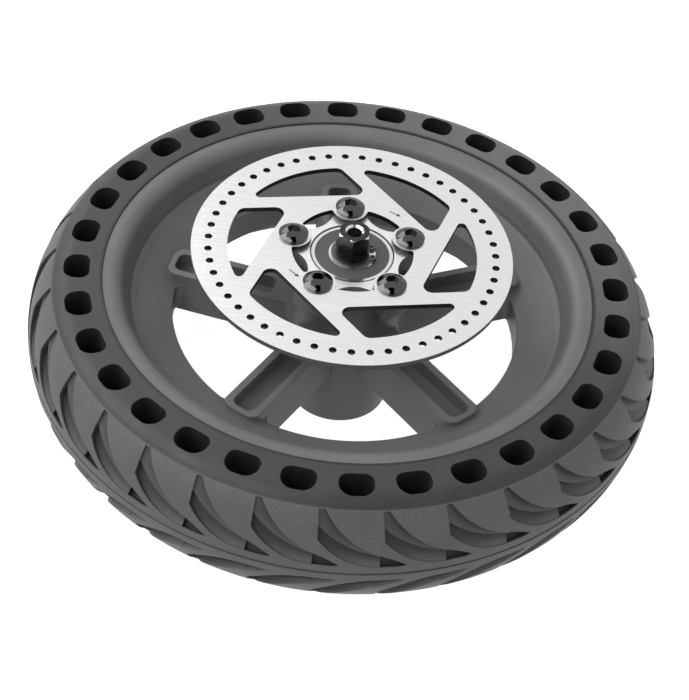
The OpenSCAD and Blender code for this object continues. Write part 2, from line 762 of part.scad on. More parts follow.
module axle() {
    color("dimgray") difference() {
        union() {
            translate([0, 0, hex_len - axle_far_end])
                cylinder(h = axle_disc_end + axle_far_end - 2 * hex_len, r = axle_r);
            translate([0, 0, axle_disc_end]) hex_end();
            translate([0, 0, -axle_far_end]) mirror([0, 0, 1]) hex_end();
        }
        translate([0, 0, axle_disc_end]) end_hole();
        translate([0, 0, -axle_far_end]) mirror([0, 0, 1]) end_hole();
        clip_seat(disc_clip_z);
        clip_seat(far_clip_z);
    }
}

// The ring is open at one side, with a drilled lug at each end for the pliers.
module circlip_outline() {
    r_in = axle_r - clip_groove + seat_gap;
    r_out = axle_r + clip_w - seat_gap;
    a = clip_gap / 2;
    lug_at = axle_r + seat_gap + clip_lug_r + 0.05;
    difference() {
        union() {
            difference() {
                circle(r_out);
                circle(r_in);
                polygon([[0, 0], polar(2 * r_out, a), polar(2 * r_out, -a)]);
            }
            for (s = [-1, 1]) translate(polar(lug_at, s * (a + 4))) circle(clip_lug_r);
        }
        for (s = [-1, 1]) translate(polar(lug_at, s * (a + 4))) circle(clip_hole_r);
    }
}

module circlip(z) {
    color("gainsboro") rotate([0, 0, clip_turn]) translate([0, 0, z]) linear_extrude(clip_t) circlip_outline();
}

module disc_side_circlip() { circlip(disc_clip_z); }
module far_side_circlip() { circlip(far_clip_z); }

module bearing_spacer() {
    low = far_bearing_z + bearing_w / 2 + seat_gap;
    high = disc_bearing_z - bearing_w / 2 - seat_gap;
    color("slategray") translate([0, 0, (low + high) / 2])
        ring(axle_r + seat_gap, axle_r + spacer_wall, high - low);
}

tyre();
wheel_casting();
brake_disc();
disc_screw_1();
disc_screw_2();
disc_screw_3();
disc_screw_4();
disc_screw_5();
axle();
bearing_spacer();
disc_side_circlip();
far_side_circlip();
disc_side_outer_ring();
disc_side_inner_ring();
disc_side_balls();
disc_side_cage();
disc_side_outer_seal();
disc_side_inner_seal();
far_side_outer_ring();
far_side_inner_ring();
far_side_balls();
far_side_cage();
far_side_outer_seal();
far_side_inner_seal();
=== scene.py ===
import bpy
import math
from mathutils import Matrix, Quaternion, Vector
from mathutils.bvhtree import BVHTree
from mathutils.interpolate import poly_3d_calc


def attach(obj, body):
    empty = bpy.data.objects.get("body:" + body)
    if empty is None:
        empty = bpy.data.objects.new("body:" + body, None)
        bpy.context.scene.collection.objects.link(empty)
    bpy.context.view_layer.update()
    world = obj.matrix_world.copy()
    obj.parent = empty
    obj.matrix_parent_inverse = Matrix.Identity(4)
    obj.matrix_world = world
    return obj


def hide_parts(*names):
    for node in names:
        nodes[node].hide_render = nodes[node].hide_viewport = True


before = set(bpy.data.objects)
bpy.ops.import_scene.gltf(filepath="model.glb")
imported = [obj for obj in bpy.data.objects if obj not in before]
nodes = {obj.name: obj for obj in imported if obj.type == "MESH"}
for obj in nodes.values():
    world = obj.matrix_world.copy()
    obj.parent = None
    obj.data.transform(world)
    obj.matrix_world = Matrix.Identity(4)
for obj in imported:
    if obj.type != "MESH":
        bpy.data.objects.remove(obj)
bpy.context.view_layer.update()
scene = bpy.context.scene
mm = 0.001  # the scene is in metres, and sizes below are written in millimetres
print("frame loaded,", len(nodes), "nodes")

# camera
view = {
    "aim": (1.36, -11.6, 0),  # mm, the point in the middle of the picture
    "distance": 661.4,        # mm
    "azimuth": -90,
    "elevation": 45.14,
    "roll": 6.89,
    "lens": 97.16,
    "sensor": 36,
    "shift": (0, 0),
    "frame": (689, 700),
}


def makeCamera():
    data = bpy.data.cameras.new("photoCamera")
    data.sensor_fit = "AUTO"
    data.sensor_width = view["sensor"]
    data.lens = view["lens"]
    data.shift_x, data.shift_y = view["shift"]
    data.clip_start = 0.01
    camera = bpy.data.objects.new("photoCamera", data)
    scene.collection.objects.link(camera)
    turn, lift = math.radians(view["azimuth"]), math.radians(view["elevation"])
    back = Vector((math.cos(lift) * math.cos(turn), math.cos(lift) * math.sin(turn), math.sin(lift)))
    camera.location = Vector(view["aim"]) * mm + back * view["distance"] * mm
    level = (-back).to_track_quat("-Z", "Y")
    camera.rotation_mode = "QUATERNION"
    camera.rotation_quaternion = level @ Quaternion((0, 0, 1), math.radians(view["roll"]))
    scene.camera = camera
    bpy.context.view_layer.update()
    return camera


camera = makeCamera()

# image points: x and y in the photograph, with None where only the other one counts
imagePoints = {
    "objectLeft": (28, None), "objectRight": (654, None),
    "objectTop": (None, 101), "objectBottom": (None, 595),
    "discLeft": (191, None), "discRight": (513, None),
    "discTop": (None, 147), "discBottom": (None, 368),
    "screwTop": (351, 208), "screwUpperLeft": (294.5, 234), "screwLowerLeft": (318.5, 282),
    "screwLowerRight": (392, 284.5), "screwUpperRight": (410, 237.5),
    "axleEnd": (354.5, 231.5),
    "arrowLeft": (294.2, 273.2), "arrowRight": (395.2, 214),
}


def rayThrough(x, y):
    # where the ray through a point of the picture starts, and its direction
    width, height = view["frame"]
    side = max(width, height)
    across = Vector((x - width / 2 + view["shift"][0] * side, height / 2 - y + view["shift"][1] * side,
                     -side * view["lens"] / view["sensor"]))
    return camera.matrix_world.translation, (camera.matrix_world.to_3x3() @ across).normalized()


def showsAt(place):
    # the point of the picture where a place shows
    width, height = view["frame"]
    side = max(width, height)
    x, y, z = camera.matrix_world.inverted() @ place
    scale = side * view["lens"] / view["sensor"] / -z
    return (width / 2 - view["shift"][0] * side + x * scale,
            height / 2 + view["shift"][1] * side - y * scale)


def meet(carrier, name):
    # the place and normal where an image point's ray meets the carrier, or comes nearest to it
    start, way = rayThrough(*imagePoints[name])
    place, normal, *rest = carrier.ray_cast(start, way)
    if place is None:
        # tried at each hundredth of the camera's distance, well before and well behind the object
        hundredth = way * view["distance"] * mm / 100
        tries = (carrier.find_nearest(start + hundredth * step) for step in range(60, 141))
        place, normal, *rest = min(tries, key=lambda found: found[3])
    return place, normal


print("camera set")


# helpers for materials
def linear(hexText):
    # sRGB hex to the linear colour that Blender works in
    values = [int(hexText[i:i + 2], 16) / 255 for i in (1, 3, 5)]
    return [v / 12.92 if v <= 0.04045 else ((v + 0.055) / 1.055) ** 2.4 for v in values] + [1]


def addNode(tree, kind, links=None, values=None, **settings):
    # one node: settings are its own properties, values fill sockets, links join them to other sockets
    node = tree.nodes.new("ShaderNode" + kind)
    for name, value in settings.items():
        setattr(node, name, value)
    # a mix has sockets of the same name for numbers and for colours, and only some are in use
    inUse = [socket for socket in node.inputs if socket.enabled]
    named = {socket.name: socket for socket in reversed(inUse)}
    for name, value in (values or {}).items():
        (node.inputs[name] if isinstance(name, int) else named[name]).default_value = value
    for name, socket in (links or {}).items():
        tree.links.new(socket, node.inputs[name] if isinstance(name, int) else named[name])
    return node


def result(node):
    # the output of a mix that is in use
    return next(socket for socket in node.outputs if socket.enabled)


def newMaterial(name):
    material = bpy.data.materials.new(name)
    material.use_nodes = True
    tree = material.node_tree
    tree.nodes.clear()
    return material, tree


def finishMaterial(tree, shader):
    addNode(tree, "OutputMaterial", {"Surface": shader})


def fromAxle(tree, place):
    # distance of a point from the axle's line, in metres
    flat = addNode(tree, "VectorMath", {0: place}, {1: (1, 1, 0)}, operation="MULTIPLY")
    return addNode(tree, "VectorMath", {0: flat.outputs[0]}, operation="LENGTH").outputs["Value"]


# the values of a noise texture mostly lie in this span
noiseSpan = {"From Min": 0.3, "From Max": 0.7}


def setSlots(mesh, slotOf):
    for face in mesh.polygons:
        face.material_index = int(slotOf(face))


def dress(nodeName, *materials, slotOf=None):
    # gives a CAD node its materials, and where it has several, each face the one that slotOf says
    mesh = nodes[nodeName].data
    mesh.materials.clear()
    for material in materials:
        mesh.materials.append(material)
    if slotOf:
        setSlots(mesh, slotOf)


# tyre: vulcanised solid rubber, moulded
rubber = {
    "side": ("#282828", "#393939"),
    "block": ("#4a4a4a", "#5d5d5d"),  # the blocks are a lighter grey than the sides
    "groove": "#101010",       # painted shade, near black deep in the grooves
    "grooveDepth": (0.25, 2.6),  # mm below the crown, where the painted shade begins and where it is full
    "crown": (110.4, 30.2),    # mm, radius of the tyre and of the curve across its tread
    "treadHalf": 20.7,         # mm from the middle to the edge of the tread
    "edgeShade": (20.9, 24.5),  # mm from the middle, painted shade on the shoulder under the edge of the tread, which fades out
    "lipShadow": (85.5, 86.1),      # mm from the axle, painted shadow of the rim's lip on the tyre, and where it ends
    "paintedSheen": ("#686868", 50),  # painted sheen: a lighter grey on the half of the sides where light grazes, and degrees to where most of it is
    "paintedSheenReach": (15, 95),    # mm from the axle to that side, where it begins and where it is full
    "cloud": 14,               # mm, size of the dull and bright patches that mould release leaves
    "grain": 0.9,              # mm, drawn coarse, because the real spark-eroded grain is 0.1 mm
    "grainDepth": 0.05,
    "softEdge": 0.35,          # mm, moulded rubber has no sharp edge
    "roughness": (0.46, 0.62),
    "ior": 1.52,
    # painted shade inside the cushion holes
    "hole": "#0b0b0b",
    "holeMottle": 2,           # mm
    "holeRoughness": (0.75, 0.9),
    "holeReach": (86, 100),    # mm from the axle
}


def crownDepth(tree, radius, height):
    # how far a point lies below the smooth crown of the tread, in metres
    outer, curve = (size * mm for size in rubber["crown"])
    out = addNode(tree, "Math", {0: radius}, {1: outer - curve}, operation="SUBTRACT")
    across = addNode(tree, "CombineXYZ", {"X": out.outputs[0], "Y": height})
    reach = addNode(tree, "VectorMath", {0: across.outputs[0]}, operation="LENGTH")
    return addNode(tree, "Math", {1: reach.outputs["Value"]}, {0: curve}, operation="SUBTRACT").outputs[0]


def rubberColour(tree, place, side, spread):
    # lighter grey on the tread's blocks, darker on the sides, where a painted sheen lightens one half
    sideGrey, blockGrey = (addNode(tree, "Mix", {"Factor": spread},
                           {"A": linear(rubber[part][0]), "B": linear(rubber[part][1])},
                           data_type="RGBA") for part in ("side", "block"))
    colour, turn = rubber["paintedSheen"]
    towards = (math.cos(math.radians(turn)), math.sin(math.radians(turn)), 0)
    over = addNode(tree, "VectorMath", {0: place}, {1: towards}, operation="DOT_PRODUCT")
    start, full = rubber["paintedSheenReach"]
    # painted sheen, full on the half of the sides that catches the light
    paintedSheen = addNode(tree, "MapRange", {"Value": over.outputs["Value"]},
                    {"From Min": start * mm, "From Max": full * mm}, interpolation_type="SMOOTHSTEP")
    sheened = addNode(tree, "Mix", {"Factor": paintedSheen.outputs["Result"], "A": result(sideGrey)},
                    {"B": linear(colour)}, data_type="RGBA")
    edge = rubber["treadHalf"]
    onSide = addNode(tree, "MapRange", {"Value": side},
                     {"From Min": edge * mm, "From Max": (edge + 0.4) * mm})
    return result(addNode(tree, "Mix", {"Factor": onSide.outputs["Result"], "A": result(blockGrey),
                                        "B": result(sheened)}, data_type="RGBA"))


def rubberPaintedShade(tree, side, radius, height):
    # painted shade: 1 deep in the grooves and in the rim lip's shadow on the tyre, and less just off the
    # tread's edge
    edge, (begins, full) = rubber["treadHalf"] * mm, rubber["grooveDepth"]
    deep = addNode(tree, "MapRange", {"Value": crownDepth(tree, radius, height)},
                   {"From Min": begins * mm, "From Max": full * mm}, interpolation_type="SMOOTHSTEP")
    onTread = addNode(tree, "Math", {0: side}, {1: edge}, operation="LESS_THAN")
    inGrooveShade = addNode(tree, "Math", {0: deep.outputs["Result"], 1: onTread.outputs[0]},
                       operation="MULTIPLY")
    # painted shade on the shoulder, under the tread's edge
    begins, full = rubber["edgeShade"]
    edgeShadeFade = addNode(tree, "MapRange", {"Value": side},
                   {"From Min": begins * mm, "From Max": full * mm, "To Min": 0.4, "To Max": 0},
                   interpolation_type="SMOOTHSTEP")
    offTread = addNode(tree, "Math", {0: side}, {1: edge}, operation="GREATER_THAN")
    byEdge = addNode(tree, "Math", {0: edgeShadeFade.outputs["Result"], 1: offTread.outputs[0]},
                     operation="MULTIPLY")
    # painted shadow of the rim's lip on the tyre
    begins, full = rubber["lipShadow"]
    lipShadow = addNode(tree, "MapRange", {"Value": radius},
                   {"From Min": begins * mm, "From Max": full * mm, "To Min": 1, "To Max": 0})
    worse = addNode(tree, "Math", {0: inGrooveShade.outputs[0], 1: byEdge.outputs[0]}, operation="MAXIMUM")
    return addNode(tree, "Math", {0: worse.outputs[0], 1: lipShadow.outputs["Result"]},
                   operation="MAXIMUM").outputs[0]


def vulcanisedRubber():
    # moulded black rubber: dull and greyish, with painted shade in the grooves, by the rim and off the
    # tread's edge, a painted sheen on one half of the sides, and a soft sheen where light grazes it
    material, tree = newMaterial("vulcanisedRubber")
    place = addNode(tree, "TexCoord").outputs["Object"]
    radius = fromAxle(tree, place)
    height = addNode(tree, "SeparateXYZ", {"Vector": place}).outputs["Z"]
    side = addNode(tree, "Math", {0: height}, operation="ABSOLUTE").outputs[0]
    clouds = addNode(tree, "TexNoise", {"Vector": place},
                     {"Scale": 1 / (rubber["cloud"] * mm), "Detail": 4, "Roughness": 0.6})
    grain = addNode(tree, "TexNoise", {"Vector": place},
                    {"Scale": 1 / (rubber["grain"] * mm), "Detail": 2, "Roughness": 0.6})
    both = addNode(tree, "Mix", {"A": clouds.outputs["Fac"], "B": grain.outputs["Fac"]},
                   {"Factor": 0.35}, data_type="FLOAT")
    spread = addNode(tree, "MapRange", {"Value": result(both)}, {"From Min": 0.32, "From Max": 0.68})
    # the painted shade darkens the rubber's colour towards the groove black
    colour = addNode(tree, "Mix", {"Factor": rubberPaintedShade(tree, side, radius, height),
                                   "A": rubberColour(tree, place, side, spread.outputs["Result"])},
                     {"B": linear(rubber["groove"])}, data_type="RGBA")
    shine = addNode(tree, "MapRange", {"Value": clouds.outputs["Fac"]},
                    {**noiseSpan, "To Min": rubber["roughness"][0], "To Max": rubber["roughness"][1]})
    soft = addNode(tree, "Bevel", values={"Radius": rubber["softEdge"] * mm}, samples=4)
    bump = addNode(tree, "Bump", {"Height": grain.outputs["Fac"], "Normal": soft.outputs["Normal"]},
                   {"Strength": 0.5, "Distance": rubber["grainDepth"] * mm})
    skin = addNode(tree, "BsdfPrincipled",
                   {"Base Color": result(colour), "Roughness": shine.outputs["Result"],
                    "Normal": bump.outputs["Normal"]},
                   {"IOR": rubber["ior"]})
    finishMaterial(tree, skin.outputs["BSDF"])
    return material


def holeShadeRubber():
    # painted shade: the walls of the cushion holes are near black, and dull inside
    material, tree = newMaterial("holeShadeRubber")
    place = addNode(tree, "TexCoord").outputs["Object"]
    mottle = addNode(tree, "TexNoise", {"Vector": place},
                     {"Scale": 1 / (rubber["holeMottle"] * mm), "Detail": 2})
    low, high = rubber["holeRoughness"]
    shine = addNode(tree, "MapRange", {"Value": mottle.outputs["Fac"]},
                    {**noiseSpan, "To Min": low, "To Max": high})
    skin = addNode(tree, "BsdfPrincipled", {"Roughness": shine.outputs["Result"]},
                   {"Base Color": linear(rubber["hole"]), "IOR": rubber["ior"]})
    finishMaterial(tree, skin.outputs["BSDF"])
    return material


def inHole(face):
    near, far = rubber["holeReach"]
    return (abs(face.normal.z) < 0.3
            and near * mm < math.hypot(face.center.x, face.center.y) < far * mm)


# wheel: die-cast aluminium, grey powder coat, with the disc seat and boss left bare and turned
wheelCoat = {
    "dark": "#606060", "light": "#707070",
    "patch": 22,       # mm, size of the parts that took a little more or less powder
    "peel": 1.6,       # mm, size of the waves of the coat's orange peel
    "peelDepth": 0.03,
    "softEdge": 0.7,   # mm, the powder pulls back from edges and fills corners
    "speck": 0.8,      # mm, drawn coarser than the real powder grains
    "roughness": (0.42, 0.55),
    "ior": 1.5,
}
bareSeat = {
    "colour": "#e4e4e4",
    "toolStep": 0.5,   # mm, the real turning marks are about 0.15 mm apart, drawn coarse to show
    "toolDepth": 0.01,
    "roughness": (0.22, 0.36),
    "lowest": 34,      # mm over the middle of the wheel, just under the seat of the disc
    "reach": 28,       # mm from the axle
    "seatShadeReach": (14.3, 14.6),  # mm from the axle, where the painted shade in the gap round the bearing fades out
    "seatShade": "#1c1c1c",
}


def powderCoatedAluminium():
    # sprayed and baked powder: even satin grey with a faint orange peel
    material, tree = newMaterial("powderCoatedAluminium")
    place = addNode(tree, "TexCoord").outputs["Object"]
    peel = addNode(tree, "TexNoise", {"Vector": place},
                   {"Scale": 1 / (wheelCoat["peel"] * mm), "Detail": 1})
    speck = addNode(tree, "TexNoise", {"Vector": place},
                    {"Scale": 1 / (wheelCoat["speck"] * mm), "Detail": 2})
    patches = addNode(tree, "TexNoise", {"Vector": place},
                      {"Scale": 1 / (wheelCoat["patch"] * mm), "Detail": 3})
    both = addNode(tree, "Mix", {"A": patches.outputs["Fac"], "B": speck.outputs["Fac"]},
                   {"Factor": 0.4}, data_type="FLOAT")
    spread = addNode(tree, "MapRange", {"Value": result(both)}, noiseSpan)
    colour = addNode(tree, "ValToRGB", {"Fac": spread.outputs["Result"]})
    colour.color_ramp.elements[0].color = linear(wheelCoat["dark"])
    colour.color_ramp.elements[1].color = linear(wheelCoat["light"])
    shine = addNode(tree, "MapRange", {"Value": speck.outputs["Fac"]},
                    {**noiseSpan, "To Min": wheelCoat["roughness"][0],
                     "To Max": wheelCoat["roughness"][1]})
    soft = addNode(tree, "Bevel", values={"Radius": wheelCoat["softEdge"] * mm}, samples=4)
    bump = addNode(tree, "Bump", {"Height": peel.outputs["Fac"], "Normal": soft.outputs["Normal"]},
                   {"Strength": 0.6, "Distance": wheelCoat["peelDepth"] * mm})
    coat = addNode(tree, "BsdfPrincipled",
                   {"Base Color": colour.outputs["Color"], "Roughness": shine.outputs["Result"],
                    "Normal": bump.outputs["Normal"]},
                   {"IOR": wheelCoat["ior"]})
    finishMaterial(tree, coat.outputs["BSDF"])
    return material


ringStray = {"size": 8, "reach": 0.3}  # mm, how long the stray parts of a ring are, and how far they go


def ringHeight(tree, place, step):
    # waves round the axle, step millimetres apart, broken up a little as a cutting tool leaves them
    wander = addNode(tree, "TexNoise", {"Vector": place},
                     {"Scale": 1 / (ringStray["size"] * mm), "Detail": 1})
    shift = addNode(tree, "Math", {0: wander.outputs["Fac"]}, {1: ringStray["reach"] * mm},
                    operation="MULTIPLY")
    total = addNode(tree, "Math", {0: fromAxle(tree, place), 1: shift.outputs[0]}, operation="ADD")
    turns = addNode(tree, "Math", {0: total.outputs[0]}, {1: 2 * math.pi / (step * mm)},
                    operation="MULTIPLY")
    return addNode(tree, "Math", {0: turns.outputs[0]}, operation="SINE").outputs[0]


def turnedAluminium():
    # bare cast aluminium after facing on a lathe: bright, with fine rings, and painted shade in the gap by
    # the bearing
    material, tree = newMaterial("turnedAluminium")
    place = addNode(tree, "TexCoord").outputs["Object"]
    rings = ringHeight(tree, place, bareSeat["toolStep"])
    shine = addNode(tree, "MapRange", {"Value": rings},
                    {"From Min": -1, "To Min": bareSeat["roughness"][0],
                     "To Max": bareSeat["roughness"][1]})
    bump = addNode(tree, "Bump", {"Height": rings},
                   {"Strength": 0.3, "Distance": bareSeat["toolDepth"] * mm})
    # painted shade in the gap round the bearing
    full, none = bareSeat["seatShadeReach"]
    byBearing = addNode(tree, "MapRange", {"Value": fromAxle(tree, place)},
                        {"From Min": full * mm, "From Max": none * mm, "To Min": 1, "To Max": 0})
    colour = addNode(tree, "Mix", {"Factor": byBearing.outputs["Result"]},
                     {"A": linear(bareSeat["colour"]), "B": linear(bareSeat["seatShade"])},
                     data_type="RGBA")
    metal = addNode(tree, "BsdfPrincipled",
                    {"Base Color": result(colour), "Roughness": shine.outputs["Result"],
                     "Normal": bump.outputs["Normal"]},
                    {"Metallic": 1})
    finishMaterial(tree, metal.outputs["BSDF"])
    return material


def bareStar(face):
    # the faces that carry the disc and the boss between them are machined, the rest is coated
    return (face.normal.z > 0.7 and face.center.z > bareSeat["lowest"] * mm
            and math.hypot(face.center.x, face.center.y) < bareSeat["reach"] * mm)


# the real spokes end in a soft round over the slope of the rim, and the slope meets the wall crisply
spokeEnd = {
    "count": 5, "turn": 25.1,    # degrees to the first spoke
    "start": 40, "end": 64.6,    # mm from the axle
    "corner": 4.2,               # mm, radius of the round corners
    "cornerStep": 10,            # degrees
    "halfWidth": 7.1,            # mm
    # mm from the axle and over the middle: down the wall of the rim, and in along its slope
    "wall": (76.3, 17.4), "foot": (75, 14.07), "slope": (60.6, 7),
    "clear": 0.04,               # mm that the cut stays over the slope and the wall
    "inside": 58,                # mm from the axle
    "steps": 240,
}


def solidPiece(name, corners, faces):
    mesh = bpy.data.meshes.new(name)
    mesh.from_pydata(corners, [], faces)
    mesh.update()
    piece = bpy.data.objects.new(name, mesh)
    scene.collection.objects.link(piece)
    return piece


def slopeCollar():
    # the room over the slope, as a ring
    wall, foot, slope = spokeEnd["wall"], spokeEnd["foot"], spokeEnd["slope"]
    inside, clear = spokeEnd["inside"], spokeEnd["clear"]
    fall = (foot[1] - slope[1]) / (foot[0] - slope[0])
    profile = [(inside, slope[1] + (inside - slope[0]) * fall + clear), (foot[0] - clear, foot[1] + clear),
               (wall[0] - clear, wall[1]), (inside, wall[1])]
    steps, sides = spokeEnd["steps"], len(profile)
    turns = [2 * math.pi * step / steps for step in range(steps)]
    corners = [(r * mm * math.cos(turn), r * mm * math.sin(turn), z * mm)
               for turn in turns for r, z in profile]
    faces = [(step * sides + side, (step + 1) % steps * sides + side,
              (step + 1) % steps * sides + (side + 1) % sides, step * sides + (side + 1) % sides)
             for step in range(steps) for side in range(sides)]
    return solidPiece("slopeCollar", corners, faces)


def roundedBar(number):
    # what stays of one spoke: a straight bar with two round corners at its outer end
    start, end, half = spokeEnd["start"], spokeEnd["end"], spokeEnd["halfWidth"]
    corner, turned = spokeEnd["corner"], range(0, 91, spokeEnd["cornerStep"])
    right = [(end - corner + corner * math.sin(a), -half + corner - corner * math.cos(a))
             for a in map(math.radians, turned)]
    outline = [(start, -half)] + right + [(x, -y) for x, y in reversed(right)] + [(start, half)]
    turn = Matrix.Rotation(math.radians(spokeEnd["turn"] + number * 360 / spokeEnd["count"]), 3, "Z")
    size = len(outline)
    top = spokeEnd["wall"][1] + 1
    corners = [turn @ Vector((x * mm, y * mm, z * mm)) for z in (0, top) for x, y in outline]
    faces = [tuple(range(size - 1, -1, -1)), tuple(range(size, 2 * size))]
    faces += [(i, (i + 1) % size, size + (i + 1) % size, size + i) for i in range(size)]
    return solidPiece(f"roundedBar{number}", corners, faces)


def cutBy(piece, cutter):
    # takes the cutter away from the piece, and then the cutter from the scene
    step = piece.modifiers.new("cut", "BOOLEAN")
    step.object, step.operation, step.solver = cutter, "DIFFERENCE", "EXACT"
    finished = bpy.data.meshes.new_from_object(piece.evaluated_get(bpy.context.evaluated_depsgraph_get()))
    piece.modifiers.clear()
    piece.data = finished
    bpy.data.objects.remove(cutter)


def roundNormal(face, place):
    # the smooth normal of a surface turned about the axle, or the face's own where it isn't one
    out = Vector((face.center.x, face.center.y, 0)).normalized()
    sideways = Vector((-out.y, out.x, 0))
    if abs(face.normal.dot(sideways)) > 0.03:  # a turned surface's normal has no part round the axle
        return face.normal.copy()
    here = Vector((place.x, place.y, 0)).normalized()
    return (here * face.normal.dot(out) + Vector((0, 0, face.normal.z))).normalized()


def keepShading(mesh, before):
    # old faces keep the solid's smooth shading, and the faces of the cut get their own
    old = BVHTree.FromPolygons([vertex.co for vertex in before.vertices],
                               [face.vertices for face in before.polygons])
    bends = before.corner_normals
    normals = [None] * len(mesh.loops)
    for face in mesh.polygons:
        place, normal, index, distance = old.find_nearest(face.center)
        kept = distance < 0.002 * mm and normal.dot(face.normal) > 0.99  # it lies in the old face
        source = before.polygons[index]
        shape = [before.vertices[corner].co for corner in source.vertices]
        for loop in face.loop_indices:
            at = mesh.vertices[mesh.loops[loop].vertex_index].co
            if kept:
                shares = poly_3d_calc(shape, at)
                normals[loop] = sum((bends[corner].vector * share for corner, share
                                     in zip(source.loop_indices, shares)), Vector()).normalized()
            else:
                normals[loop] = roundNormal(face, at)
    mesh.normals_split_custom_set(normals)


def makeCastWheel():
    solid = nodes["wheel_casting"].data
    piece = bpy.data.objects.new("castWheel", solid.copy())
    scene.collection.objects.link(piece)
    collar = slopeCollar()
    for number in range(spokeEnd["count"]):
        cutBy(collar, roundedBar(number))
    cutBy(piece, collar)
    keepShading(piece.data, solid)
    setSlots(piece.data, bareStar)
    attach(piece, "wheel")
    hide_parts("wheel_casting")


# brake disc: stainless steel sheet, laser cut, both faces ground
disc = {
    "face": "#e2e2e2", "dull": "#d8d8d8",
    "scratch": (0.35, 24),  # mm, width and length of a grinding mark, drawn coarser than real
    "scratchDepth": 0.002,
    "scratchTurn": -12,     # degrees
    "roughness": (0.2, 0.34),
    "edge": "#3c3c3c", "rimEdge": "#8a8a8a",  # the outer edge is wiped brighter by pads and cleaning
    "edgeRoughness": (0.35, 0.6),
    "outer": 54.5,          # mm from the axle, only the outer edge lies further out
    "edgeStep": (0.4, 4),   # mm, width and length of the laser's drag lines down the cut edge
}


def groundSteel():
    # ground stainless sheet: near white, with long fine marks in one direction
    material, tree = newMaterial("groundSteel")
    place = addNode(tree, "TexCoord").outputs["Object"]
    across, along = disc["scratch"]
    stretched = addNode(tree, "Mapping", {"Vector": place},
                        {"Scale": (1 / (along * mm), 1 / (across * mm), 1 / (across * mm)),
                         "Rotation": (0, 0, math.radians(disc["scratchTurn"]))})
    marks = addNode(tree, "TexNoise", {"Vector": stretched.outputs["Vector"]},
                    {"Scale": 1, "Detail": 4, "Roughness": 0.7})
    spread = addNode(tree, "MapRange", {"Value": marks.outputs["Fac"]}, noiseSpan)
    colour = addNode(tree, "ValToRGB", {"Fac": spread.outputs["Result"]})
    colour.color_ramp.elements[0].color = linear(disc["dull"])
    colour.color_ramp.elements[1].color = linear(disc["face"])
    shine = addNode(tree, "MapRange", {"Value": spread.outputs["Result"]},
                    {"To Min": disc["roughness"][0], "To Max": disc["roughness"][1]})
    bump = addNode(tree, "Bump", {"Height": marks.outputs["Fac"]},
                   {"Strength": 0.4, "Distance": disc["scratchDepth"] * mm})
    metal = addNode(tree, "BsdfPrincipled",
                    {"Base Color": colour.outputs["Color"], "Roughness": shine.outputs["Result"],
                     "Normal": bump.outputs["Normal"]},
                    {"Metallic": 1})
    finishMaterial(tree, metal.outputs["BSDF"])
    return material


def laserCutSteel(name, colour):
    # the cut edge keeps an oxide skin with fine lines across it
    material, tree = newMaterial(name)
    place = addNode(tree, "TexCoord").outputs["Object"]
    across, along = disc["edgeStep"]
    lines = addNode(tree, "Mapping", {"Vector": place},
                    {"Scale": (1 / (across * mm), 1 / (across * mm), 1 / (along * mm))})
    drag = addNode(tree, "TexNoise", {"Vector": lines.outputs["Vector"]}, {"Scale": 1, "Detail": 2})
    shine = addNode(tree, "MapRange", {"Value": drag.outputs["Fac"]},
                    {**noiseSpan, "To Min": disc["edgeRoughness"][0],
                     "To Max": disc["edgeRoughness"][1]})
    bump = addNode(tree, "Bump", {"Height": drag.outputs["Fac"]},
                   {"Strength": 0.5, "Distance": 0.02 * mm})
    metal = addNode(tree, "BsdfPrincipled",
                    {"Roughness": shine.outputs["Result"], "Normal": bump.outputs["Normal"]},
                    {"Base Color": linear(colour), "Metallic": 1})
    finishMaterial(tree, metal.outputs["BSDF"])
    return material


def discSlot(face):
    # 0 on both faces, 1 in the holes and windows, 2 on the outer edge
    if abs(face.normal.z) > 0.5:
        return 0
    return 2 if math.hypot(face.center.x, face.center.y) > disc["outer"] * mm else 1


# small steel pieces
bareAxle = {"hole": 2.7, "ends": 38}  # mm from the axis, and mm from the middle of the wheel
steels = {
    # name: colour, lowest and highest roughness, mark size in mm, mark depth in mm
    "blackChromeSteel": ("#505050", 0.06, 0.12, 1.2, 0.002),
    "blackOxideSteel": ("#3e3e3e", 0.16, 0.28, 0.8, 0.006),
    "reamedSteel": ("#d0d0d0", 0.15, 0.28, 0.5, 0.004),
    "polishedBearingSteel": ("#d8d8d8", 0.12, 0.2, 0.6, 0.002),
    "phosphatedSpringSteel": ("#606060", 0.35, 0.5, 0.6, 0.01),
    "drawnAluminium": ("#cfcfcf", 0.28, 0.4, 0.7, 0.008),
}


def smallSteel(name):
    # black chrome, oxide and phosphate are thin dark skins on steel, the others are bare metal
    colour, low, high, size, depth = steels[name]
    material, tree = newMaterial(name)
    place = addNode(tree, "TexCoord").outputs["Object"]
    marks = addNode(tree, "TexNoise", {"Vector": place}, {"Scale": 1 / (size * mm), "Detail": 3})
    shine = addNode(tree, "MapRange", {"Value": marks.outputs["Fac"]},
                    {**noiseSpan, "To Min": low, "To Max": high})
    bump = addNode(tree, "Bump", {"Height": marks.outputs["Fac"]},
                   {"Strength": 0.3, "Distance": depth * mm})
    metal = addNode(tree, "BsdfPrincipled",
                    {"Roughness": shine.outputs["Result"], "Normal": bump.outputs["Normal"]},
                    {"Base Color": linear(colour), "Metallic": 1})
    finishMaterial(tree, metal.outputs["BSDF"])
    return material


def bareOnAxle(face):
    # the drilled hole and the bevels of the hexagon were cut after the oxide bath
    out = math.hypot(face.center.x, face.center.y)
    bevel = 0.2 < abs(face.normal.z) < 0.95
    return out < bareAxle["hole"] * mm or (bevel and abs(face.center.z) > bareAxle["ends"] * mm)


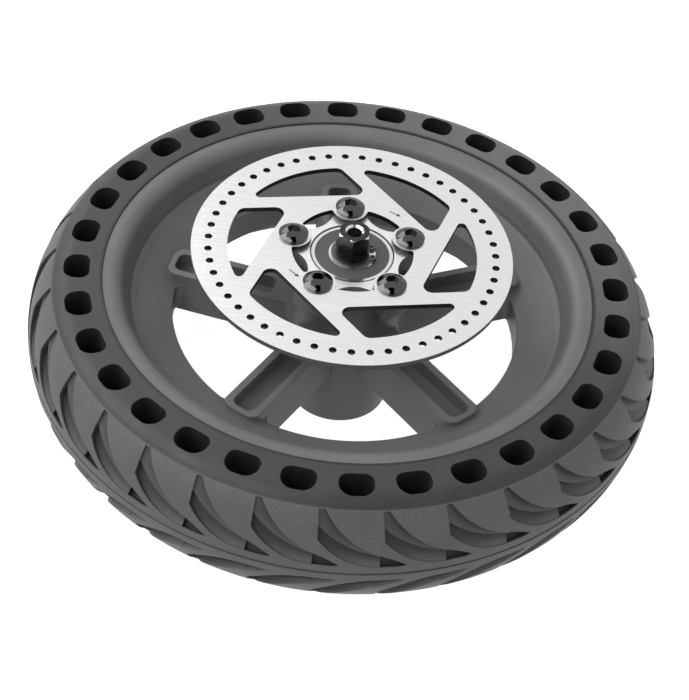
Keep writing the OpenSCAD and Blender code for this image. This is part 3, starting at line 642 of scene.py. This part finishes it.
# bearing seals and cages
seal = {
    "dark": "#4a4a4a", "light": "#585858",
    "mottle": 1.5,  # mm
    "step": 1.1,    # mm between the rings from the mould
    "ringDepth": 0.03,
    "roughness": 0.55,
    "ior": 1.52,
}
cage = {
    "dark": "#9c8f6a", "light": "#b3a67e",
    "mottle": 0.8,  # mm
    "roughness": 0.45,
    "ior": 1.53,
}


def nitrileRubber():
    # moulded nitrile: dark and dull with shallow rings from the mould
    material, tree = newMaterial("nitrileRubber")
    place = addNode(tree, "TexCoord").outputs["Object"]
    rings = ringHeight(tree, place, seal["step"])
    mottle = addNode(tree, "TexNoise", {"Vector": place},
                     {"Scale": 1 / (seal["mottle"] * mm), "Detail": 2})
    colour = addNode(tree, "ValToRGB", {"Fac": mottle.outputs["Fac"]})
    colour.color_ramp.elements[0].color = linear(seal["dark"])
    colour.color_ramp.elements[1].color = linear(seal["light"])
    bump = addNode(tree, "Bump", {"Height": rings},
                   {"Strength": 0.4, "Distance": seal["ringDepth"] * mm})
    skin = addNode(tree, "BsdfPrincipled",
                   {"Base Color": colour.outputs["Color"], "Normal": bump.outputs["Normal"]},
                   {"Roughness": seal["roughness"], "IOR": seal["ior"]})
    finishMaterial(tree, skin.outputs["BSDF"])
    return material


def glassFilledNylon():
    # moulded nylon with glass fibre: tan and slightly mottled
    material, tree = newMaterial("glassFilledNylon")
    place = addNode(tree, "TexCoord").outputs["Object"]
    mottle = addNode(tree, "TexNoise", {"Vector": place},
                     {"Scale": 1 / (cage["mottle"] * mm), "Detail": 3})
    colour = addNode(tree, "ValToRGB", {"Fac": mottle.outputs["Fac"]})
    colour.color_ramp.elements[0].color = linear(cage["dark"])
    colour.color_ramp.elements[1].color = linear(cage["light"])
    skin = addNode(tree, "BsdfPrincipled", {"Base Color": colour.outputs["Color"]},
                   {"Roughness": cage["roughness"], "IOR": cage["ior"]})
    finishMaterial(tree, skin.outputs["BSDF"])
    return material


dress("tyre", vulcanisedRubber(), holeShadeRubber(), slotOf=inHole)
dress("wheel_casting", powderCoatedAluminium(), turnedAluminium(), slotOf=bareStar)
makeCastWheel()
dress("brake_disc", groundSteel(), laserCutSteel("laserCutSteel", disc["edge"]),
      laserCutSteel("wipedSteelEdge", disc["rimEdge"]), slotOf=discSlot)
made = {name: smallSteel(name) for name in steels}
for number in range(1, 6):
    dress(f"disc_screw_{number}", made["blackChromeSteel"])
dress("axle", made["blackOxideSteel"], made["reamedSteel"], slotOf=bareOnAxle)
dress("bearing_spacer", made["drawnAluminium"])
sealRubber, cageNylon = nitrileRubber(), glassFilledNylon()
for side in ("disc_side", "far_side"):
    dress(f"{side}_circlip", made["phosphatedSpringSteel"])
    for piece in ("outer_ring", "inner_ring", "balls"):
        dress(f"{side}_{piece}", made["polishedBearingSteel"])
    dress(f"{side}_cage", cageNylon)
    for piece in ("outer_seal", "inner_seal"):
        dress(f"{side}_{piece}", sealRubber)
print("materials on all nodes")

# direction arrows on the disc, burnt in by the laser that cuts it
arrows = {
    # name: turn of the arrow in degrees, seen on the disc
    "places": {"arrowLeft": -42, "arrowRight": -27},
    "shaft": (4.8, 0.35),   # mm, length of the whole arrow, and width
    "head": (1.6, 1.5),     # mm, length and width
    "proud": 0.02,          # mm, the real burn has no height, and this keeps it clear of the steel
    "colour": ("#3a3a3a", "#585858"),
    "mottle": 0.6,          # mm
}


def burntSteel():
    # a laser leaves a dull dark oxide, a little blotchy
    material, tree = newMaterial("burntSteel")
    place = addNode(tree, "TexCoord").outputs["Object"]
    mottle = addNode(tree, "TexNoise", {"Vector": place},
                     {"Scale": 1 / (arrows["mottle"] * mm), "Detail": 2})
    colour = addNode(tree, "ValToRGB", {"Fac": mottle.outputs["Fac"]})
    colour.color_ramp.elements[0].color = linear(arrows["colour"][0])
    colour.color_ramp.elements[1].color = linear(arrows["colour"][1])
    metal = addNode(tree, "BsdfPrincipled", {"Base Color": colour.outputs["Color"]},
                    {"Roughness": 0.6, "Metallic": 1})
    finishMaterial(tree, metal.outputs["BSDF"])
    return material


def makeArrow(name, turn, carrier, material):
    # a flat arrow with its middle at the image point, lying on the disc
    length, width = arrows["shaft"]
    headLength, headWidth = arrows["head"]
    neck, tip = length / 2 - headLength, length / 2
    outline = [(-length / 2, -width / 2), (neck, -width / 2), (neck, -headWidth / 2), (tip, 0),
               (neck, headWidth / 2), (neck, width / 2), (-length / 2, width / 2)]
    middle, normal = meet(carrier, name)
    mesh = bpy.data.meshes.new(name)
    place = Matrix.Translation(middle + normal * arrows["proud"] * mm) @ Matrix.Rotation(
        math.radians(turn), 4, "Z")
    mesh.from_pydata([place @ Vector((x * mm, y * mm, 0)) for x, y in outline],
                     [], [tuple(range(len(outline)))])
    mesh.materials.append(material)
    arrow = bpy.data.objects.new(name, mesh)
    scene.collection.objects.link(arrow)
    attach(arrow, "wheel")
    return arrow


def surfaceOf(*pieces):
    # one tree of the finished faces of some pieces, in the world
    corners, faces = [], []
    for piece in pieces:
        first = len(corners)
        corners += [piece.matrix_world @ vertex.co for vertex in piece.data.vertices]
        faces += [[first + index for index in face.vertices] for face in piece.data.polygons]
    return BVHTree.FromPolygons(corners, faces)


discSurface, burnt = surfaceOf(nodes["brake_disc"]), burntSteel()
arrowPieces = {name: makeArrow(name, turn, discSurface, burnt)
               for name, turn in arrows["places"].items()}
print("arrows on the disc")

# studio
studio = {
    "floor": -40,       # mm, the far axle end stands on it
    "floorSize": 4,     # m
    "floorGrey": (0.8, 0.3),  # as light finds it, and as the camera sees it lit by the lamps
    "glow": 0.97,       # how much of the floor's white the camera sees without the lamps
    "sky": 0.18,        # strength of the white room on the object
    "lamps": {
        # name: place and size in m, watts
        "leftLamp": ((-1.03, 0, 0.87), 0.8, 7.5),
        "backLamp": ((-0.67, 0.79, 0.87), 0.8, 4.7),
        "frontLamp": ((-0.56, -0.66, 1.03), 0.8, 5.8),
        "nearLamp": ((0.56, -0.66, 1.03), 0.8, 3.4),
        "rightLamp": ((1.03, 0, 0.87), 0.8, 1.4),
    },
    "unseenInMetal": ("nearLamp", "rightLamp"),  # they fill shadows and leave no patch of light in steel
    # a black card over the camera, which only the polished screw heads and curved edges mirror
    "flag": {"middle": (0.12, -0.75, 1.35), "size": (0.75, 1.3)},
}


def makeWorld():
    world = bpy.data.worlds.new("studio")
    world.use_nodes = True
    scene.world = world
    tree = world.node_tree
    tree.nodes.clear()
    seen = seenByCamera(tree)
    room = addNode(tree, "Background", values={"Color": (1, 1, 1, 1), "Strength": studio["sky"]})
    backdrop = addNode(tree, "Background", values={"Color": (1, 1, 1, 1), "Strength": 1})
    mix = addNode(tree, "MixShader", {0: seen, 1: room.outputs[0], 2: backdrop.outputs[0]})
    tree.links.new(mix.outputs[0], addNode(tree, "OutputWorld").inputs["Surface"])


def seenByCamera(tree):
    # 1 where the camera sees a surface straight, mirrored in metal or through glass, and else 0
    path = addNode(tree, "LightPath").outputs
    first = addNode(tree, "Math", {0: path["Is Camera Ray"], 1: path["Is Glossy Ray"]},
                    operation="MAXIMUM")
    return addNode(tree, "Math", {0: first.outputs[0], 1: path["Is Transmission Ray"]},
                   operation="MAXIMUM").outputs[0]


def makeFloor():
    half = studio["floorSize"] / 2
    mesh = bpy.data.meshes.new("floor")
    z = studio["floor"] * mm
    mesh.from_pydata([(-half, -half, z), (half, -half, z), (half, half, z), (-half, half, z)],
                     [], [(0, 1, 2, 3)])
    floor = bpy.data.objects.new("floor", mesh)
    scene.collection.objects.link(floor)
    material, tree = newMaterial("studioFloor")
    seen = seenByCamera(tree)
    card, soft = (addNode(tree, "BsdfDiffuse", values={"Color": (grey, grey, grey, 1)})
                  for grey in studio["floorGrey"])
    glow = addNode(tree, "Emission", values={"Strength": studio["glow"]})
    shown = addNode(tree, "AddShader", {0: soft.outputs[0], 1: glow.outputs[0]})
    mix = addNode(tree, "MixShader", {0: seen, 1: card.outputs[0], 2: shown.outputs[0]})
    finishMaterial(tree, mix.outputs[0])
    mesh.materials.append(material)


def makeLamps():
    for name, (place, size, watts) in studio["lamps"].items():
        data = bpy.data.lights.new(name, "AREA")
        data.size, data.energy = size, watts
        lamp = bpy.data.objects.new(name, data)
        lamp.visible_glossy = name not in studio["unseenInMetal"]
        lamp.location = place
        lamp.rotation_mode = "QUATERNION"
        lamp.rotation_quaternion = (-Vector(place)).to_track_quat("-Z", "Y")
        scene.collection.objects.link(lamp)


def makeFlag():
    across, along = studio["flag"]["size"]
    mesh = bpy.data.meshes.new("flag")
    mesh.from_pydata([(x * across / 2, y * along / 2, 0) for x, y in ((-1, -1), (1, -1), (1, 1), (-1, 1))],
                     [], [(0, 1, 2, 3)])
    flag = bpy.data.objects.new("flag", mesh)
    scene.collection.objects.link(flag)
    flag.location = studio["flag"]["middle"]
    flag.rotation_mode = "QUATERNION"
    flag.rotation_quaternion = (-flag.location).to_track_quat("-Z", "Y")
    flag.visible_camera = False
    material, tree = newMaterial("blackFlock")
    finishMaterial(tree, addNode(tree, "BsdfDiffuse", values={"Color": (0.01, 0.01, 0.01, 1)}).outputs[0])
    mesh.materials.append(material)


makeWorld()
makeFloor()
makeLamps()
makeFlag()
scene.view_settings.view_transform = "Standard"
print("studio set")


def showing(piece, everything):
    # the points of the picture where those vertices of a piece show that nothing hides
    eye = camera.matrix_world.translation
    seen = []
    for vertex in piece.data.vertices:
        place = piece.matrix_world @ vertex.co
        way = place - eye
        hit = everything.ray_cast(eye, way.normalized())
        if hit[0] is None or hit[3] > way.length - 0.1 * mm:
            seen.append(showsAt(place))
    return seen


def middleOf(places):
    across, down = zip(*places)
    return (min(across) + max(across)) / 2, (min(down) + max(down)) / 2


def writePoints():
    # where each thing shows in the picture, in pixels, gathered in shown and not written out
    everything = surfaceOf(*nodes.values())
    screws = ("screwUpperRight", "screwTop", "screwUpperLeft", "screwLowerLeft", "screwLowerRight")
    shown = {name: middleOf(showing(nodes[f"disc_screw_{number}"], everything))
             for number, name in enumerate(screws, 1)}
    axleCorners = [vertex.co for vertex in nodes["axle"].data.vertices]
    underBevel = max(corner.z for corner in axleCorners) - 0.8 * mm
    shown["axleEnd"] = middleOf([showsAt(corner) for corner in axleCorners if corner.z > underBevel])
    for name, arrow in arrowPieces.items():
        shown[name] = middleOf(showing(arrow, everything))
    for name, node in (("object", "tyre"), ("disc", "brake_disc")):
        across, down = zip(*showing(nodes[node], everything))
        shown.update({name + "Left": (min(across), None), name + "Right": (max(across), None),
                      name + "Top": (None, min(down)), name + "Bottom": (None, max(down))})


writePoints()
